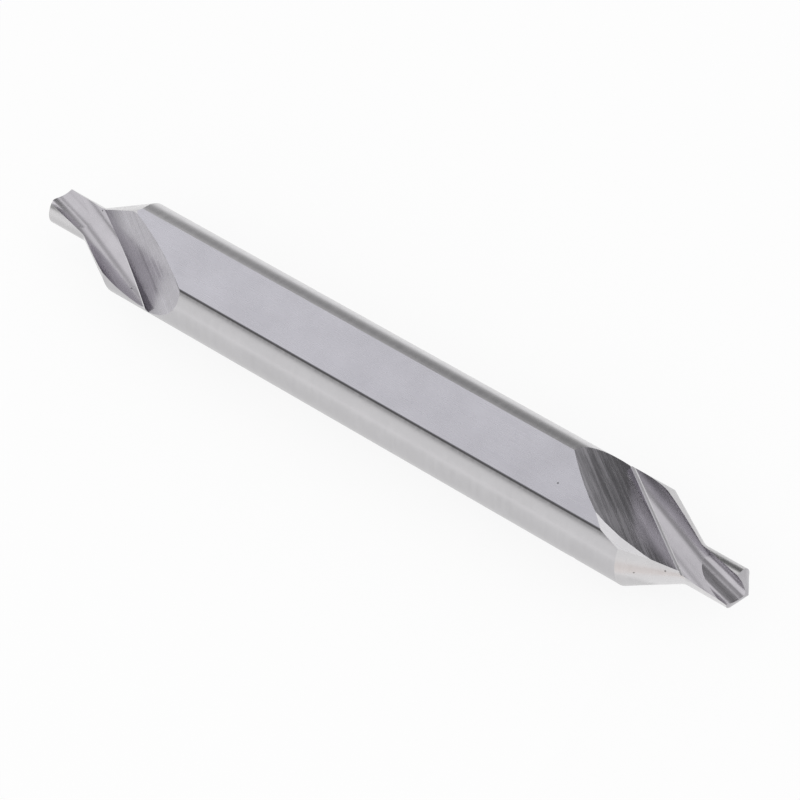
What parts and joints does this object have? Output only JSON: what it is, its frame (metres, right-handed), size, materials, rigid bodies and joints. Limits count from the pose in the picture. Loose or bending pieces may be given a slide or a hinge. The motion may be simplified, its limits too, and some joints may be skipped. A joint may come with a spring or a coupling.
{
  "type": "centre drill",
  "caption": "Double-ended centre drill: a round shank with a full-length clamping flat, and a fluted pilot and countersink cone ground on each end.",
  "frame": {"origin": "on the drill's axis, half way between its two points", "axes": "+X along the axis, +Z out of the clamping flat"},
  "size_m": [0.1, 0.012, 0.0111],
  "materials": {
    "steel": "ground high-speed steel"
  },
  "bodies": {
    "root": {"centre_drill": "steel"}
  },
  "joints": []
}
